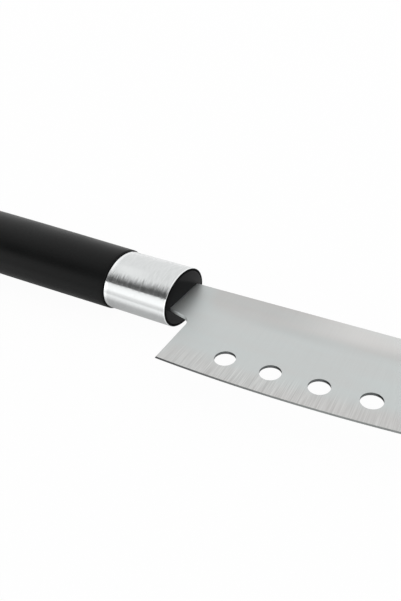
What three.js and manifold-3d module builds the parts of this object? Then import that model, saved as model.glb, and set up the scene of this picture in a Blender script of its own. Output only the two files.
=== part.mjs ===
// Santoku knife: a ground, perforated blade on a hidden tang, in an oval moulded handle with a steel ferrule.
// Millimetres. The knife lies on its side: +X runs from butt to tip, the cutting edge faces -Y and +Z is up.
// The pieces are drawn about the point where the handle's axis meets the face of the front plug.

import * as THREE from 'three';
import { mergeVertices } from 'three/addons/utils/BufferGeometryUtils.js';
import Module from 'manifold-3d';

const wasm = await Module();
wasm.setup();

// Handle oval: the outside of the ferrule
const ovalHeight = 27.3;
const ovalWidth = 21.8;
const ovalSides = 48;

// Clearances between pieces
const fitGap = 0.2; // between a piece and the seat that it slides into
const bondGap = 0.15; // on each side of the adhesive
const seamGap = 0.4; // open joint line between the ferrule and the grip

// Ferrule
const ferruleLength = 28.4;
const ferruleWall = 0.8;
const ferruleEdgeRadius = 0.3;

// Front plug
const plugRimRadius = 0.4; // rounded front edge
const plugProud = 0.15; // how far its face stands in front of the ferrule
const plugDepth = 9; // length inside the ferrule

// Grip sleeve
const handleLength = 125; // front of the plug to the butt
const gripStep = 0.5; // how far the grip's front end stands proud of the ferrule
const gripSwell = 1; // further growth of the half height towards the butt
const gripSwellStart = 0.25; // share of the swell that pulls on the front third of its curve
const gripRise = 0.8; // lift of the grip's centre line towards the spine, at the butt
const gripFrontRadius = 0.8;
const buttDepth = 9; // length over which the butt rounds off
const buttFlatHeight = 12;
const buttFlatWidth = 6;
const buttWall = 4; // grip behind the end of the core
const gripStations = 14;

// Handle core
const grooveDepth = 0.9;
const grooveWidth = 5;
const groovePitch = 20;
const coreEndChamfer = 3;

// Blade
const stockThickness = 1.6;
const bladeLength = 178; // front of the plug to the tip
const spineInset = 3.95; // spine below the top of the handle oval, at the plug
const spineAngle = THREE.MathUtils.degToRad(1.05);
const noseLength = 62; // stretch over which the spine curves down to the tip
const edgeRadius = 560;
const edgeDepth = 36.3; // lowest point of the cutting edge below the handle's axis
const edgeLowestX = 27.6;
const grindHeight = 22.5; // ground flank, measured up from the edge
const bevelHeight = 0.7;
const bevelThickness = 0.34; // blade thickness at the top of the bevel

// Heel and neck
const heelX = 10.55;
const heelLean = 0.5; // how much further forward the heel corner lies than the notch
const neckInset = 4.2; // neck above the bottom of the handle oval, at the plug
const neckDrop = 2.6; // fall of the neck's lower edge from the plug to the notch
const notchRadius = 5;

// Food-release holes
const holeDiameter = 7.5;
const holePitch = 17;
const firstHoleX = 33;
const holeToEdge = 10.6; // hole centre to cutting edge
const holeToTip = 50; // stretch before the tip that stays unpierced

// Tang and its adhesive
const shoulderStep = 3.2; // drop from the neck to the tang, above and below
const shoulderRadius = 1;
const tangToButt = 42; // end of the tang to the butt
const tangEndRadius = 3;
const tangHoleDiameter = 4.5;
const tangHolePitch = 24;
const adhesiveThickness = 1.6;

// Facets
const curveSegments = 16;
const cornerSegments = 4;
const buttSegments = 8;
const edgeStep = 4; // length of a facet along the cutting edge
const cutMargin = 2; // how far a cutting tool overlaps the surface that it removes

// Places that follow from the sizes
const halfHeight = ovalHeight / 2;
const halfWidth = ovalWidth / 2;
const ferruleFront = -plugProud;
const ferruleRear = ferruleFront - ferruleLength;
const plugRear = ferruleFront - plugDepth;
const coreFront = plugRear - fitGap;
const coreRear = -handleLength + buttWall + fitGap;
const boreInset = ferruleWall + fitGap; // what slides into the ferrule
const gripFront = ferruleRear - seamGap;
const tangEnd = -handleLength + tangToButt;
const adhesiveFront = plugRear - shoulderRadius - bondGap;
const spineAtPlug = halfHeight - spineInset;
const neckAtPlug = -halfHeight + neckInset;
const tangHigh = spineAtPlug - shoulderStep;
const tangLow = neckAtPlug + shoulderStep;
const tangMiddle = (tangHigh + tangLow) / 2;
const edgeCentre = new THREE.Vector2(edgeLowestX, edgeRadius - edgeDepth);

// Solids and geometries

function solidOf(geometry) {
  const bare = geometry.clone();
  bare.deleteAttribute('normal');
  bare.deleteAttribute('uv');
  const merged = mergeVertices(bare);
  const vertProperties = new Float32Array(merged.attributes.position.array);
  const triVerts = new Uint32Array(merged.index.array);
  return new wasm.Manifold(new wasm.Mesh({ numProp: 3, vertProperties, triVerts }));
}

function geometryOf(solid) {
  const mesh = solid.getMesh();
  const geometry = new THREE.BufferGeometry();
  geometry.setAttribute('position', new THREE.BufferAttribute(new Float32Array(mesh.vertProperties), 3));
  geometry.setIndex(new THREE.BufferAttribute(new Uint32Array(mesh.triVerts), 1));
  geometry.computeVertexNormals();
  return geometry;
}

// A solid stretched over a row of rings with equal counts of points. Seen from outside the first ring, its
// points run anticlockwise. The row has flat ends, or is endless and joins its last ring to its first.
function skinOver(rings, endless = false) {
  const sides = rings[0].length;
  const points = rings.flat();
  const faces = [];
  const spans = endless ? rings.length : rings.length - 1;
  for (let i = 0; i < spans; i += 1) {
    const here = i * sides;
    const there = ((i + 1) % rings.length) * sides;
    for (let j = 0; j < sides; j += 1) {
      const next = (j + 1) % sides;
      faces.push(here + j, there + j, here + next);
      faces.push(here + next, there + j, there + next);
    }
  }
  if (!endless) {
    const last = (rings.length - 1) * sides;
    const contour = rings[0].map((p) => new THREE.Vector2(p.y, p.z));
    const clockwise = THREE.ShapeUtils.isClockWise(contour);
    for (const corners of THREE.ShapeUtils.triangulateShape(contour, [])) {
      const [a, b, c] = clockwise ? corners.reverse() : corners;
      faces.push(a, b, c);
      faces.push(last + a, last + c, last + b);
    }
  }
  const geometry = new THREE.BufferGeometry().setFromPoints(points);
  geometry.setIndex(faces);
  geometry.computeVertexNormals();
  return geometry;
}

function ovalRing(x, ringHalfHeight, ringHalfWidth, centreY = 0) {
  const ring = [];
  for (let i = 0; i < ovalSides; i += 1) {
    const angle = (2 * Math.PI * i) / ovalSides;
    const y = centreY + ringHalfHeight * Math.cos(angle);
    ring.push(new THREE.Vector3(x, y, ringHalfWidth * Math.sin(angle)));
  }
  return ring;
}

// A ring that lies a set distance inside the handle oval.
function insetRing([x, inset]) {
  return ovalRing(x, halfHeight - inset, halfWidth - inset);
}

// Quarter round from one direction to the next, as points about a centre in the plane of x and inset.
function roundedEdge(x, inset, radius, fromAngle, toAngle) {
  const points = [];
  for (let i = 0; i <= cornerSegments; i += 1) {
    const angle = THREE.MathUtils.lerp(fromAngle, toAngle, i / cornerSegments);
    points.push([x + radius * Math.cos(angle), inset - radius * Math.sin(angle)]);
  }
  return points;
}

// Draws a path on to a corner and round it with an arc, ready to go on towards the next point.
function roundCorner(path, corner, next, radius) {
  const incoming = corner.clone().sub(path.currentPoint).normalize();
  const outgoing = next.clone().sub(corner).normalize();
  const turn = Math.atan2(incoming.cross(outgoing), incoming.dot(outgoing));
  const setback = radius * Math.tan(Math.abs(turn) / 2);
  const start = corner.clone().addScaledVector(incoming, -setback);
  const inward = new THREE.Vector2(-incoming.y, incoming.x).multiplyScalar(Math.sign(turn));
  const centre = start.clone().addScaledVector(inward, radius);
  const startAngle = start.clone().sub(centre).angle();
  path.lineTo(start.x, start.y);
  path.absarc(centre.x, centre.y, radius, startAngle, startAngle + turn, turn < 0);
}

// A flat outline given a thickness, centred on the blade's middle plane.
function plate(shape, thickness) {
  const geometry = new THREE.ExtrudeGeometry(shape, { depth: thickness, bevelEnabled: false, curveSegments });
  return geometry.translate(0, 0, -thickness / 2);
}

function block(rearX, frontX, lowY, highY, width) {
  const geometry = new THREE.BoxGeometry(frontX - rearX, highY - lowY, width);
  return geometry.translate((rearX + frontX) / 2, (lowY + highY) / 2, 0);
}

// Blade

function spineY(x) {
  return spineAtPlug + Math.tan(spineAngle) * x;
}

function tangHoles(radius) {
  const holes = [];
  for (let x = tangEnd + tangHolePitch / 2; x < coreFront - tangHolePitch / 2; x += tangHolePitch) {
    holes.push(new THREE.Path().absarc(x, tangMiddle, radius, 0, 2 * Math.PI));
  }
  return holes;
}

function foodReleaseHoles() {
  const holes = [];
  const rowRadius = edgeRadius - holeToEdge;
  for (let x = firstHoleX; x < bladeLength - holeToTip; x += holePitch) {
    const y = edgeCentre.y - Math.sqrt(rowRadius ** 2 - (x - edgeCentre.x) ** 2);
    holes.push(new THREE.Path().absarc(x, y, holeDiameter / 2, 0, 2 * Math.PI));
  }
  return holes;
}

// Angle of a point of the edge curve, or of a curve parallel to it, seen from the curve's centre.
function edgeAngle(x, radius) {
  return Math.asin((x - edgeCentre.x) / radius) - Math.PI / 2;
}

// Hidden part of the blade, from the plug's face back to the end of the tang, grown round the tang by a gap.
function tangOutline(gap) {
  const rear = tangEnd - gap;
  const low = tangLow - gap;
  const high = tangHigh + gap;
  const rearMiddle = new THREE.Vector2(rear, tangMiddle);
  const rearHigh = new THREE.Vector2(rear, high);
  const shoulderLow = new THREE.Vector2(plugRear, low);
  const neckLow = new THREE.Vector2(plugRear, neckAtPlug);
  const shape = new THREE.Shape();
  shape.moveTo(rearMiddle.x, rearMiddle.y);
  roundCorner(shape, new THREE.Vector2(rear, low), shoulderLow, tangEndRadius);
  roundCorner(shape, shoulderLow, neckLow, shoulderRadius);
  shape.lineTo(neckLow.x, neckLow.y);
  shape.lineTo(0, neckAtPlug);
  shape.lineTo(0, spineAtPlug);
  shape.lineTo(plugRear, spineY(plugRear));
  roundCorner(shape, new THREE.Vector2(plugRear, high), rearHigh, shoulderRadius);
  roundCorner(shape, rearHigh, rearMiddle, tangEndRadius);
  shape.holes.push(...tangHoles(tangHoleDiameter / 2 - gap));
  return shape;
}

// Neck, heel, edge, nose and spine in front of the plug. Below the edge it runs wide, for the bevel to trim.
function bladeOutline() {
  const heelCorner = new THREE.Vector2(heelX + heelLean, -edgeDepth - cutMargin);
  const notch = new THREE.Vector2(heelX, neckAtPlug - neckDrop);
  const wideRadius = edgeRadius + cutMargin / 2;
  const heelAngle = edgeAngle(heelCorner.x, wideRadius);
  const tipY = edgeCentre.y + edgeRadius * Math.sin(edgeAngle(bladeLength, edgeRadius));
  const tip = new THREE.Vector2(bladeLength, tipY);

  // The nose is an arc that leaves the spine smoothly and ends at the tip.
  const noseStart = new THREE.Vector2(bladeLength - noseLength, spineY(bladeLength - noseLength));
  const noseInward = new THREE.Vector2(Math.sin(spineAngle), -Math.cos(spineAngle));
  const noseSpan = tip.clone().sub(noseStart);
  const noseRadius = noseSpan.lengthSq() / (2 * noseSpan.dot(noseInward));
  const noseCentre = noseStart.clone().addScaledVector(noseInward, noseRadius);
  const tipAngle = Math.atan2(tip.y - noseCentre.y, tip.x - noseCentre.x) - cutMargin / noseRadius;

  const shape = new THREE.Shape();
  shape.moveTo(0, neckAtPlug);
  roundCorner(shape, notch, heelCorner, notchRadius);
  shape.absarc(edgeCentre.x, edgeCentre.y, wideRadius, heelAngle, edgeAngle(bladeLength, wideRadius), false);
  shape.absarc(noseCentre.x, noseCentre.y, noseRadius, tipAngle, Math.PI / 2 + spineAngle, false);
  shape.lineTo(0, spineAtPlug);
  shape.holes.push(...foodReleaseHoles());
  return shape;
}

// What the grinder takes off one face: the bevel and the flank, swept along the cutting edge.
function grindCut(face) {
  const halfStock = stockThickness / 2;
  const section = [
    [-cutMargin, 0],
    [-cutMargin, halfStock + cutMargin],
    [grindHeight, halfStock + cutMargin],
    [grindHeight, halfStock],
    [bevelHeight, bevelThickness / 2],
    [0, 0],
  ];
  if (face < 0) {
    section.reverse();
  }
  const start = edgeAngle(heelX - notchRadius, edgeRadius);
  const end = edgeAngle(bladeLength + cutMargin, edgeRadius);
  const steps = Math.ceil((edgeRadius * (end - start)) / edgeStep);
  const rings = [];
  for (let i = 0; i <= steps; i += 1) {
    const angle = THREE.MathUtils.lerp(start, end, i / steps);
    rings.push(section.map(([height, z]) => {
      const radius = edgeRadius - height;
      const x = edgeCentre.x + radius * Math.cos(angle);
      const y = edgeCentre.y + radius * Math.sin(angle);
      return new THREE.Vector3(x, y, face * z);
    }));
  }
  return skinOver(rings);
}

function makeBlade() {
  const blank = solidOf(plate(bladeOutline(), stockThickness));
  const tang = solidOf(plate(tangOutline(0), stockThickness));
  const ground = blank.subtract(solidOf(grindCut(1))).subtract(solidOf(grindCut(-1)));
  return geometryOf(ground.add(tang));
}

// Front plug: fills the mouth of the ferrule, with a slot for the neck

function makeFrontPlug() {
  const rim = roundedEdge(-plugRimRadius, boreInset + plugRimRadius, plugRimRadius, 0, Math.PI / 2);
  const profile = [...rim, [plugRear, boreInset]];
  const body = solidOf(skinOver(profile.map(insetRing)));
  const slotWidth = stockThickness + 2 * fitGap;
  const slot = block(plugRear - cutMargin, cutMargin, neckAtPlug - fitGap, spineAtPlug + fitGap, slotWidth);
  return geometryOf(body.subtract(solidOf(slot)));
}

// Ferrule: oval tube with eased outer edges

function makeFerrule() {
  const radius = ferruleEdgeRadius;
  const profile = [
    [ferruleFront, ferruleWall],
    ...roundedEdge(ferruleFront - radius, radius, radius, 0, Math.PI / 2),
    ...roundedEdge(ferruleRear + radius, radius, radius, Math.PI / 2, Math.PI),
    [ferruleRear, ferruleWall],
  ];
  return skinOver(profile.map(insetRing), true);
}

// Handle core: straight oval bar with moulded-in grooves that key the grip, and a socket for the tang

function coreProfile(gap) {
  const surface = boreInset - gap;
  const grooveFloor = surface + grooveDepth;
  const profile = [[coreFront, surface]];
  const firstGroove = gripFront - groovePitch / 2;
  const lastGroove = coreRear + coreEndChamfer + groovePitch / 2;
  for (let x = firstGroove; x > lastGroove; x -= groovePitch) {
    const front = x + grooveWidth / 2 - gap;
    const rear = x - grooveWidth / 2 + gap;
    profile.push([front, surface], [front, grooveFloor], [rear, grooveFloor], [rear, surface]);
  }
  profile.push([coreRear + coreEndChamfer, surface], [coreRear - gap, surface + coreEndChamfer]);
  return profile;
}

function socketBlock(inset, frontX) {
  const reach = adhesiveThickness - inset;
  return block(tangEnd - reach, frontX, tangLow - reach, tangHigh + reach, stockThickness + 2 * reach);
}

function makeHandleCore() {
  const bar = solidOf(skinOver(coreProfile(0).map(insetRing)));
  return geometryOf(bar.subtract(solidOf(socketBlock(0, coreFront + cutMargin))));
}

// Tang adhesive: fills the socket round the tang and runs through its holes

function makeTangAdhesive() {
  const fill = solidOf(socketBlock(bondGap, adhesiveFront));
  const tang = solidOf(plate(tangOutline(bondGap), stockThickness + 2 * bondGap));
  return geometryOf(fill.subtract(tang));
}

// Grip sleeve: oval that swells towards the butt, moulded over the core

function gripSection(x) {
  const run = Math.min((gripFront - x) / (gripFront + handleLength - buttDepth), 1);
  const early = 3 * run * (1 - run) ** 2 * gripSwellStart;
  const late = 3 * run ** 2 * (1 - run) + run ** 3;
  const frontHalf = halfHeight + gripStep;
  const growth = 1 + (gripSwell * (early + late)) / frontHalf;
  const centreY = (gripRise * (gripFront - x)) / (gripFront + handleLength);
  return { x, centreY, high: frontHalf * growth, wide: (halfWidth + gripStep) * growth };
}

function makeGripSleeve() {
  const bodyFront = gripFront - gripFrontRadius;
  const bodyRear = -handleLength + buttDepth;
  const rings = [];
  for (const [x, inset] of roundedEdge(bodyFront, gripFrontRadius, gripFrontRadius, 0, Math.PI / 2)) {
    const { centreY, high, wide } = gripSection(x);
    rings.push(ovalRing(x, high - inset, wide - inset, centreY));
  }
  for (let i = 1; i < gripStations; i += 1) {
    const station = THREE.MathUtils.lerp(bodyFront, bodyRear, i / gripStations);
    const { x, centreY, high, wide } = gripSection(station);
    rings.push(ovalRing(x, high, wide, centreY));
  }
  for (let i = 0; i <= buttSegments; i += 1) {
    const angle = ((Math.PI / 2) * i) / buttSegments;
    const { x, centreY, high, wide } = gripSection(bodyRear - buttDepth * Math.sin(angle));
    const ringHigh = THREE.MathUtils.lerp(buttFlatHeight / 2, high, Math.cos(angle));
    const ringWide = THREE.MathUtils.lerp(buttFlatWidth / 2, wide, Math.cos(angle));
    rings.push(ovalRing(x, ringHigh, ringWide, centreY));
  }
  const outside = solidOf(skinOver(rings));
  const cavity = solidOf(skinOver(coreProfile(fitGap).map(insetRing)));
  return geometryOf(outside.subtract(cavity));
}

// Materials

const satinSteel = new THREE.MeshStandardMaterial({ color: 0xc3c6c6, metalness: 1, roughness: 0.38 });
const brushedSteel = new THREE.MeshStandardMaterial({ color: 0xcdcfcf, metalness: 1, roughness: 0.3 });
const softBlack = new THREE.MeshStandardMaterial({ color: 0x1f2121, metalness: 0, roughness: 0.6 });
const mouldedBlack = new THREE.MeshStandardMaterial({ color: 0x191a1b, metalness: 0, roughness: 0.35 });
const coreBlack = new THREE.MeshStandardMaterial({ color: 0x151515, metalness: 0, roughness: 0.55 });
const curedResin = new THREE.MeshStandardMaterial({ color: 0xa89a6c, metalness: 0, roughness: 0.4 });

// Assembly, then set down with its origin under the middle of the whole knife

const pieces = [
  ['blade', makeBlade(), satinSteel],
  ['front_plug', makeFrontPlug(), mouldedBlack],
  ['ferrule', makeFerrule(), brushedSteel],
  ['grip_sleeve', makeGripSleeve(), softBlack],
  ['handle_core', makeHandleCore(), coreBlack],
  ['tang_adhesive', makeTangAdhesive(), curedResin],
];

const assembly = new THREE.Group();
for (const [name, geometry, material] of pieces) {
  const mesh = new THREE.Mesh(geometry, material);
  mesh.name = name;
  assembly.add(mesh);
}

const bounds = new THREE.Box3().setFromObject(assembly);
const middle = bounds.getCenter(new THREE.Vector3());
assembly.position.set(-middle.x, -middle.y, -bounds.min.z);

const knife = new THREE.Group();
knife.add(assembly);

export default knife;
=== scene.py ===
import math

import bmesh
import bpy
from mathutils import Matrix, Vector


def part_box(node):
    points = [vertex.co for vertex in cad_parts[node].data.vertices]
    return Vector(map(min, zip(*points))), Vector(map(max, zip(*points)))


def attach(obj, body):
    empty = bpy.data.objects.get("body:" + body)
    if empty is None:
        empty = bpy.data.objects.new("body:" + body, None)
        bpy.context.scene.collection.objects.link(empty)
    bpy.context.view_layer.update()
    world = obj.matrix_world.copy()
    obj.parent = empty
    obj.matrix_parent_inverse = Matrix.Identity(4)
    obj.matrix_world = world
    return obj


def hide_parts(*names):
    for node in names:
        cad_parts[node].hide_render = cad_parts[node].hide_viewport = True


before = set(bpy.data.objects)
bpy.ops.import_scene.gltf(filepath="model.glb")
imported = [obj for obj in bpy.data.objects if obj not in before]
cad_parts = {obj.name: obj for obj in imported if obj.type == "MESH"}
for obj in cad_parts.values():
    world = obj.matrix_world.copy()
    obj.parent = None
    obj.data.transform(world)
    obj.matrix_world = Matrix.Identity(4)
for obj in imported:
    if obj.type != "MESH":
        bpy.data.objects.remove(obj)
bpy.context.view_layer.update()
scene = bpy.context.scene
mm = 0.001

# The knife is drawn in millimetres about the point where the handle's axis meets the plug's face
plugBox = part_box("front_plug")
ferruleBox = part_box("ferrule")
handleAxis = (ferruleBox[0] + ferruleBox[1]) / 2
plugFace = Vector((plugBox[1].x, handleAxis.y, handleAxis.z))
knifePlace = Matrix.Translation(plugFace) @ Matrix.Scale(mm, 4)


def knifeBox(node):
    return [(corner - plugFace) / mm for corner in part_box(node)]


plugBack = knifeBox("front_plug")[0]
ferruleBack, ferruleFront = knifeBox("ferrule")
gripBack, gripFront = knifeBox("grip_sleeve")
coreBack, coreFront = knifeBox("handle_core")
bladeBack, bladeFront = knifeBox("blade")
ovalHigh = ferruleFront.y  # half height of the handle's oval
ovalWide = ferruleFront.z  # half width
ovalSegments = 128
sharpDegrees = 40  # corners that turn further than this stay crisp
print("frame: handle oval", round(2 * ovalHigh, 2), "by", round(2 * ovalWide, 2), "mm")


# Shared mesh steps

def pieceFrom(bm, name):
    mesh = bpy.data.meshes.new(name)
    bm.to_mesh(mesh)
    bm.free()
    piece = bpy.data.objects.new(name, mesh)
    scene.collection.objects.link(piece)
    return piece


def standFor(piece, node):
    piece.data.transform(knifePlace)
    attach(piece, "root")
    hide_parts(node)


def smoothRound(piece):
    piece.data.shade_smooth()
    piece.data.set_sharp_from_angle(angle=math.radians(sharpDegrees))


def vertsOf(geom):
    return [item for item in geom if isinstance(item, bmesh.types.BMVert)]


def ovalPlace(x, high, wide, centreY=0):
    upright = Matrix.Rotation(math.radians(90), 4, "Y")
    return Matrix.Translation((x, centreY, 0)) @ Matrix.Diagonal((1, high, wide, 1)) @ upright


# One circle, extruded from station to station; gives back the edges of each ring
def loftOvals(bm, stations):
    places = [ovalPlace(*station) for station in stations]
    circle = bmesh.ops.create_circle(bm, segments=ovalSegments, radius=1, matrix=places[0])
    rings = [list(dict.fromkeys(edge for vert in circle["verts"] for edge in vert.link_edges))]
    for old, new in zip(places, places[1:]):
        grown = bmesh.ops.extrude_edge_only(bm, edges=rings[-1])["geom"]
        verts = vertsOf(grown)
        bmesh.ops.transform(bm, matrix=new @ old.inverted(), verts=verts)
        edges = [item for item in grown if isinstance(item, bmesh.types.BMEdge)]
        rings.append([edge for edge in edges if set(verts).issuperset(edge.verts)])
    return rings


def roundEdges(bm, edges, radius, segments):
    bmesh.ops.bevel(
        bm, geom=edges, affect="EDGES", offset=radius, offset_type="OFFSET",
        segments=segments, profile=0.5, material=-1)


def roundCorner(bm, vert, radius, segments):
    setback = radius * math.tan(vert.calc_edge_angle() / 2)
    bmesh.ops.bevel(
        bm, geom=[vert], affect="VERTICES", offset=setback, offset_type="OFFSET",
        segments=segments, profile=0.5, material=-1)


def cutAway(piece, cutters):
    for cutter in cutters:
        cut = piece.modifiers.new(cutter.name, "BOOLEAN")
        cut.operation = "DIFFERENCE"
        cut.solver = "MANIFOLD"
        cut.object = cutter
    graph = bpy.context.evaluated_depsgraph_get()
    uncut = piece.data
    piece.data = bpy.data.meshes.new_from_object(piece.evaluated_get(graph))
    piece.data.name = uncut.name
    piece.data.materials.clear()  # the cut leaves an empty slot
    piece.modifiers.clear()
    for spare in [uncut] + [cutter.data for cutter in cutters]:
        bpy.data.meshes.remove(spare)  # takes the cutter's object with it


# Shared material steps

noiseMiddle = 0.5  # a noise texture swings about this, and mostly stays between the next two
noiseLow = 0.3
noiseHigh = 0.7


def linear(hexColour):  # sRGB hex to the linear values that shaders take
    channels = [int(hexColour[i:i + 2], 16) / 255 for i in (1, 3, 5)]
    return tuple(c / 12.92 if c <= 0.04045 else ((c + 0.055) / 1.055) ** 2.4 for c in channels) + (1,)


# Sockets go by name or number; a Mix node's colours are inputs 6 and 7 and output 2
def addNode(tree, kind, settings=None, links=None):
    node = tree.nodes.new(kind)
    for key, value in (settings or {}).items():
        if isinstance(key, str) and hasattr(node, key):
            setattr(node, key, value)
        else:
            node.inputs[key].default_value = value
    for key, source in (links or {}).items():
        tree.links.new(source, node.inputs[key])
    return node


def emptyMaterial(name):
    material = bpy.data.materials.new(name)
    material.use_nodes = True
    material.node_tree.nodes.clear()
    return material, material.node_tree


# Grip: black moulded sleeve, oval, swelling towards the butt

grip = {
    "step": 0.5,  # how far the front end stands proud of the ferrule
    "swell": 1,  # further growth of the half height towards the butt
    "swellStart": 0.45,  # how soon it sets in
    "rise": 0.8,  # lift of the centre line at the butt
    "frontRadius": 0.8,
    "buttDepth": 9,
    "buttFlatHigh": 6,  # half sizes of the butt's flat end
    "buttFlatWide": 3,
    "boreGap": 0.2,  # clearance round the core
    "boreChamfer": 3,  # at the core's rear end
    "ribDepth": 0.9,  # ribs that key the sleeve into the core's grooves
    "ribWidth": 4.6,
    "ribPitch": 20,
    "ribEndGap": 13,
    "bodySteps": 40,
    "buttSteps": 16,
    "roundSteps": 6,
}


def gripSection(x):  # half height, half width and lift, growing along a cubic curve
    run = min((gripFront.x - x) / (gripFront.x - gripBack.x - grip["buttDepth"]), 1)
    early = 3 * run * (1 - run) ** 2 * grip["swellStart"]
    late = 3 * run ** 2 * (1 - run) + run ** 3
    growth = 1 + grip["swell"] * (early + late) / (ovalHigh + grip["step"])
    lift = grip["rise"] * (gripFront.x - x) / (gripFront.x - gripBack.x)
    return (ovalHigh + grip["step"]) * growth, (ovalWide + grip["step"]) * growth, lift


def gripBore():  # from the blind end behind the core forward to the mouth
    boreHigh = coreFront.y + grip["boreGap"]
    boreWide = coreFront.z + grip["boreGap"]
    chamfer = grip["boreChamfer"]
    stations = [
        (coreBack.x - grip["boreGap"], boreHigh - chamfer, boreWide - chamfer),
        (coreBack.x + chamfer, boreHigh, boreWide),
    ]
    ribs = []
    x = gripFront.x - grip["ribPitch"] / 2
    while x > coreBack.x + grip["ribEndGap"]:
        ribs.insert(0, x)
        x -= grip["ribPitch"]
    for x in ribs:
        rear = x - grip["ribWidth"] / 2
        front = x + grip["ribWidth"] / 2
        for place, depth in ((rear, 0), (rear, grip["ribDepth"]), (front, grip["ribDepth"]), (front, 0)):
            stations.append((place, boreHigh - depth, boreWide - depth))
    return stations + [(gripFront.x, boreHigh, boreWide)]


def makeGrip():
    stations = gripBore()
    radius = grip["frontRadius"]
    for i in range(grip["roundSteps"] + 1):  # rounded front end
        angle = math.pi / 2 * i / grip["roundSteps"]
        x = gripFront.x - radius * (1 - math.cos(angle))
        high, wide, lift = gripSection(x)
        inset = radius * (1 - math.sin(angle))
        stations.append((x, high - inset, wide - inset, lift))
    bodyFront = gripFront.x - radius
    bodyBack = gripBack.x + grip["buttDepth"]
    for i in range(1, grip["bodySteps"]):
        x = bodyFront + (bodyBack - bodyFront) * i / grip["bodySteps"]
        high, wide, lift = gripSection(x)
        stations.append((x, high, wide, lift))
    for i in range(grip["buttSteps"] + 1):  # butt, rounding off to a small flat
        angle = math.pi / 2 * i / grip["buttSteps"]
        x = bodyBack - grip["buttDepth"] * math.sin(angle)
        high, wide, lift = gripSection(x)
        high = grip["buttFlatHigh"] + (high - grip["buttFlatHigh"]) * math.cos(angle)
        wide = grip["buttFlatWide"] + (wide - grip["buttFlatWide"]) * math.cos(angle)
        stations.append((x, high, wide, lift))
    bm = bmesh.new()
    rings = loftOvals(bm, stations)
    bmesh.ops.edgeloop_fill(bm, edges=rings[0])
    bmesh.ops.edgeloop_fill(bm, edges=rings[-1])
    bmesh.ops.recalc_face_normals(bm, faces=bm.faces[:])
    piece = pieceFrom(bm, "grip")
    smoothRound(piece)
    return piece


# Ferrule: oval steel tube with eased rims

ferrule = {
    "wall": 0.8,
    "rimRadius": 0.15,
    "rimSteps": 4,
    "endFacing": 0.99,  # faces turned this squarely ahead are the cut end
}


def makeFerrule():
    wall = ferrule["wall"]
    bm = bmesh.new()
    rings = loftOvals(bm, [
        (ferruleFront.x, ovalHigh - wall, ovalWide - wall),
        (ferruleFront.x, ovalHigh, ovalWide),
        (ferruleBack.x, ovalHigh, ovalWide),
        (ferruleBack.x, ovalHigh - wall, ovalWide - wall),
    ])
    bmesh.ops.bridge_loops(bm, edges=rings[0] + rings[-1])
    bmesh.ops.recalc_face_normals(bm, faces=bm.faces[:])
    roundEdges(bm, rings[1] + rings[2], ferrule["rimRadius"], ferrule["rimSteps"])
    piece = pieceFrom(bm, "ferrule_tube")
    smoothRound(piece)
    for face in piece.data.polygons:
        if face.normal.x > ferrule["endFacing"]:
            face.material_index = 1  # cut end, round the plug
    return piece


# Front plug: fills the mouth of the ferrule, slotted for the blade's neck

plug = {
    "rimRadius": 0.4,
    "rimSteps": 5,
    "inset": 1.0,  # from the ferrule's outside to the plug's
    "slotGap": 0.2,
    "slotOverrun": 2,
}


def makePlug():
    high = ovalHigh - plug["inset"]
    wide = ovalWide - plug["inset"]
    bm = bmesh.new()
    rings = loftOvals(bm, [(plugBack.x, high, wide), (0, high, wide)])
    bmesh.ops.edgeloop_fill(bm, edges=rings[0])
    bmesh.ops.edgeloop_fill(bm, edges=rings[-1])
    bmesh.ops.recalc_face_normals(bm, faces=bm.faces[:])
    roundEdges(bm, rings[-1], plug["rimRadius"], plug["rimSteps"])
    piece = pieceFrom(bm, "front_cap")

    slotLow = blade["neckAtPlug"] - plug["slotGap"]
    slotHigh = blade["spineAtPlug"] + plug["slotGap"]
    length = plug["slotOverrun"] * 2 - plugBack.x
    middle = Vector((plugBack.x / 2, (slotLow + slotHigh) / 2, 0))
    size = Matrix.Diagonal((length, slotHigh - slotLow, blade["stock"] + 2 * plug["slotGap"], 1))
    slot = bmesh.new()
    bmesh.ops.create_cube(slot, size=1, matrix=Matrix.Translation(middle) @ size)
    cutAway(piece, [pieceFrom(slot, "slot")])
    smoothRound(piece)
    return piece


# Blade: flat stock, ground on both faces towards a curved edge, pierced by a row of holes

blade = {
    "stock": bladeFront.z - bladeBack.z,
    "spineAtPlug": 9.7,  # heights above the handle's axis
    "neckAtPlug": -9.45,
    "spineDegrees": 1.05,
    "noseLength": 62,  # stretch over which the spine curves down to the tip
    "edgeRadius": 560,
    "edgeLowestX": 27.6,
    "heelX": 10.55,
    "heelLean": 0.5,
    "neckDrop": 2.6,
    "notchRadius": 5,
    "rimEase": 0.12,  # eased corners of the spine, neck and heel
    "grindHeight": 22.5,
    "grindBlend": 10,  # stretch over which the ground flank runs out into the flat
    "bevelHeight": 0.7,
    "bevelThickness": 0.34,
    "holeDiameter": 7.5,
    "holePitch": 17,
    "firstHoleX": 33,
    "holeToEdge": 10.6,
    "holeToTip": 50,
    "shoulderStep": 3.2,  # how far the tang steps in from the neck, above and below
    "shoulderRadius": 1,
    "tangEndRadius": 3,
    "tangHoleDiameter": 4.5,
    "tangHolePitch": 24,
    "arcStep": 2,  # facet length along the long curves
    "blendSteps": 6,
    "holeSegments": 72,
    "cornerSteps": 8,
    "easeSteps": 2,
    "cutMargin": 2,
    "bevelTilt": 6,  # degrees from the flat: the bevel is steeper than the flank
    "roundTilt": 20,  # and flatter than the eased corners and the walls
    "wallTilt": 80,
    "wallMargin": 0.1,  # a hole's wall lies this close to the hole's own radius
}
edgeCentre = Vector((blade["edgeLowestX"], bladeBack.y + blade["edgeRadius"], 0))


def edgeTurn(x, radius):  # angle round the edge's centre, from its lowest point
    return math.asin((x - edgeCentre.x) / radius)


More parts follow.
